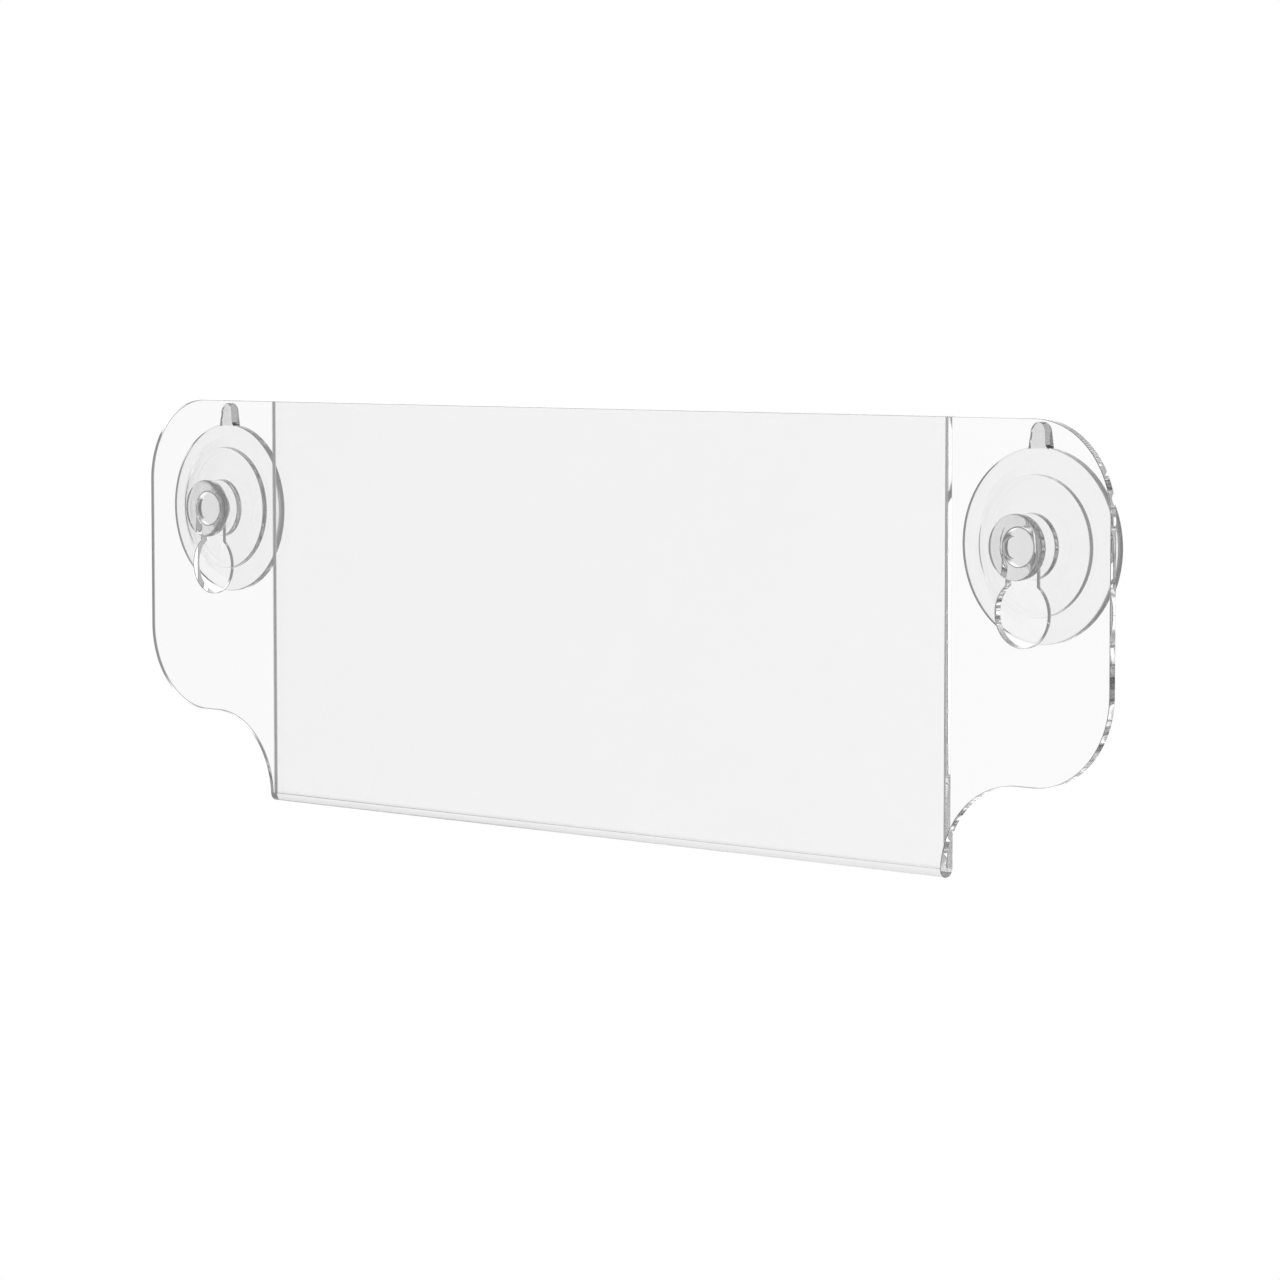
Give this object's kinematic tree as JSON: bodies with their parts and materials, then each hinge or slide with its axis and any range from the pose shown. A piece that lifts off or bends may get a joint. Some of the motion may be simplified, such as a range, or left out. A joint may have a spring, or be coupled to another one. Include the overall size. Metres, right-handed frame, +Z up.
{
  "type": "suction cup sign holder",
  "caption": "Clear folded sheet sign holder with a landscape pocket and keyhole ears, hung on a glass guard by clear suction cups.",
  "frame": {"origin": "on the glass surface, midway between the axes of the two suction cups", "axes": "+X along the pocket to the reader's right, +Y into the glass, +Z up; the reader stands on the -Y side"},
  "size_m": [0.334, 0.0117, 0.1065],
  "materials": {
    "clear_acrylic": "polished",
    "clear_vinyl": "gloss",
    "clear_film": "gloss"
  },
  "bodies": {
    "left_cup": {"suction_cup_left": "clear_vinyl"},
    "holder": {"holder": "clear_acrylic"},
    "right_cup": {"suction_cup_right": "clear_vinyl"},
    "insert": {"insert_film": "clear_film"}
  },
  "joints": [
    {"name": "holder_lift", "type": "slide", "parent": "left_cup", "child": "holder", "axis": [0, 0, 1], "range_m": [0, 0.0152]},
    {"name": "right_cup_slot", "type": "slide", "parent": "holder", "child": "right_cup", "axis": [0, 0, 1], "range_m": [-0.0152, 0]},
    {"name": "insert_slide", "type": "slide", "parent": "holder", "child": "insert", "axis": [0, 0, 1], "range_m": [0, 0.104]}
  ],
  "couplings": [
    {"joint": "right_cup_slot", "follows": "holder_lift", "ratio": -1}
  ]
}
